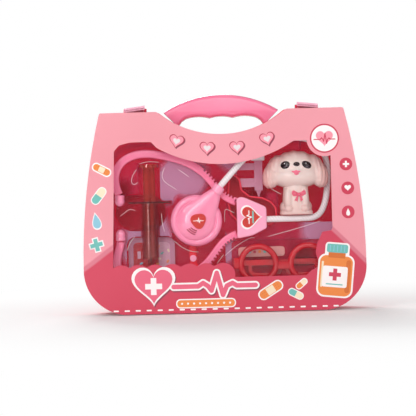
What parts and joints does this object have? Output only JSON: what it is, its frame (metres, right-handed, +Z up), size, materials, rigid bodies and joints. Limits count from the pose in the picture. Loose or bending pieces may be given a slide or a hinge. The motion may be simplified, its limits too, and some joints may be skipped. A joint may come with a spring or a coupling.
{
  "type": "toy doctor case",
  "caption": "Toy doctor carry case with a hinged clear cover, printed front card, moulded handle, latches and a tray of toys.",
  "frame": {"origin": "middle of the case's footprint, on the ground", "axes": "+X to the right seen from the printed front, -Y towards the front, +Z up to the handle"},
  "size_m": [0.2854, 0.066, 0.2204],
  "materials": {
    "raspberry_shell": "injection moulded, gloss",
    "clear_case": "clear moulded, gloss",
    "printed_card": "printed card, satin",
    "pink_plastic": "injection moulded, gloss",
    "deep_pink_plastic": "injection moulded, gloss",
    "steel_pin": "drawn wire",
    "clear_tray": "thermoformed clear sheet",
    "white_plastic": "moulded, satin",
    "white_tube": "soft extruded tube, satin",
    "sticker": "printed sticker",
    "red_clear": "translucent moulded",
    "seal_rubber": "soft moulded",
    "red_plastic": "injection moulded, gloss",
    "cream_vinyl": "soft moulded vinyl, satin",
    "black_paint": "gloss paint",
    "clear_box": "clear moulded, gloss",
    "lilac_plastic": "translucent moulded"
  },
  "bodies": {
    "case": {"back_shell": "raspberry_shell", "handle": "pink_plastic", "latch_pin_left": "steel_pin", "latch_pin_right": "steel_pin", "hinge_pins": "steel_pin", "tray_sheet": "clear_tray", "tray_posts": "clear_tray", "tray_pockets_left": "clear_tray", "tray_pockets_low": "clear_tray", "tray_pockets_right": "clear_tray", "chest_piece": "pink_plastic", "diaphragm": "white_plastic", "chest_sticker": "sticker", "steth_tube": "white_tube", "yoke": "pink_plastic", "yoke_sticker": "sticker", "headset_arm_upper": "pink_plastic", "headset_arm_lower": "pink_plastic", "ear_tip_upper": "deep_pink_plastic", "ear_tip_lower": "deep_pink_plastic", "syringe_barrel": "red_clear", "glasses_frame": "red_plastic", "temple_left": "red_plastic", "temple_right": "red_plastic", "temple_pins": "steel_pin", "puppy_body": "cream_vinyl", "puppy_head": "cream_vinyl", "puppy_eyes": "black_paint", "puppy_nose": "black_paint", "puppy_tongue": "deep_pink_plastic", "puppy_bow": "deep_pink_plastic", "pill_box": "clear_box", "pill_box_lid": "clear_box", "pill_card": "sticker", "kidney_dish": "red_clear", "oval_dish": "red_clear", "dropper_body": "lilac_plastic", "dropper_cap": "white_plastic", "scissor_blade_back": "red_plastic", "scissor_rivet": "white_plastic", "plaster_strip": "cream_vinyl"},
    "cover": {"front_cover": "clear_case", "front_card": "printed_card"},
    "left_latch": {"latch_left": "deep_pink_plastic"},
    "right_latch": {"latch_right": "deep_pink_plastic"},
    "plunger": {"syringe_plunger": "red_clear", "plunger_seal": "seal_rubber"},
    "scissor_front": {"scissor_blade_front": "red_plastic"}
  },
  "joints": [
    {"name": "cover_hinge", "type": "hinge", "parent": "case", "child": "cover", "pos_m": [0, -0.004, 0.0032], "axis": [1, 0, 0], "range_deg": [0, 150]},
    {"name": "left_latch_turn", "type": "hinge", "parent": "case", "child": "left_latch", "pos_m": [-0.0875, 0.0032, 0.2062], "axis": [-1, 0, 0], "range_deg": [0, 100]},
    {"name": "right_latch_turn", "type": "hinge", "parent": "case", "child": "right_latch", "pos_m": [0.0875, 0.0032, 0.2062], "axis": [-1, 0, 0], "range_deg": [0, 100]},
    {"name": "plunger_slide", "type": "slide", "parent": "case", "child": "plunger", "axis": [0, 0, -1], "range_m": [0, 0.026]},
    {"name": "scissor_open", "type": "hinge", "parent": "case", "child": "scissor_front", "pos_m": [-0.0319, -0.0105, 0.0545], "axis": [0, -1, 0], "range_deg": [0, 30]}
  ]
}
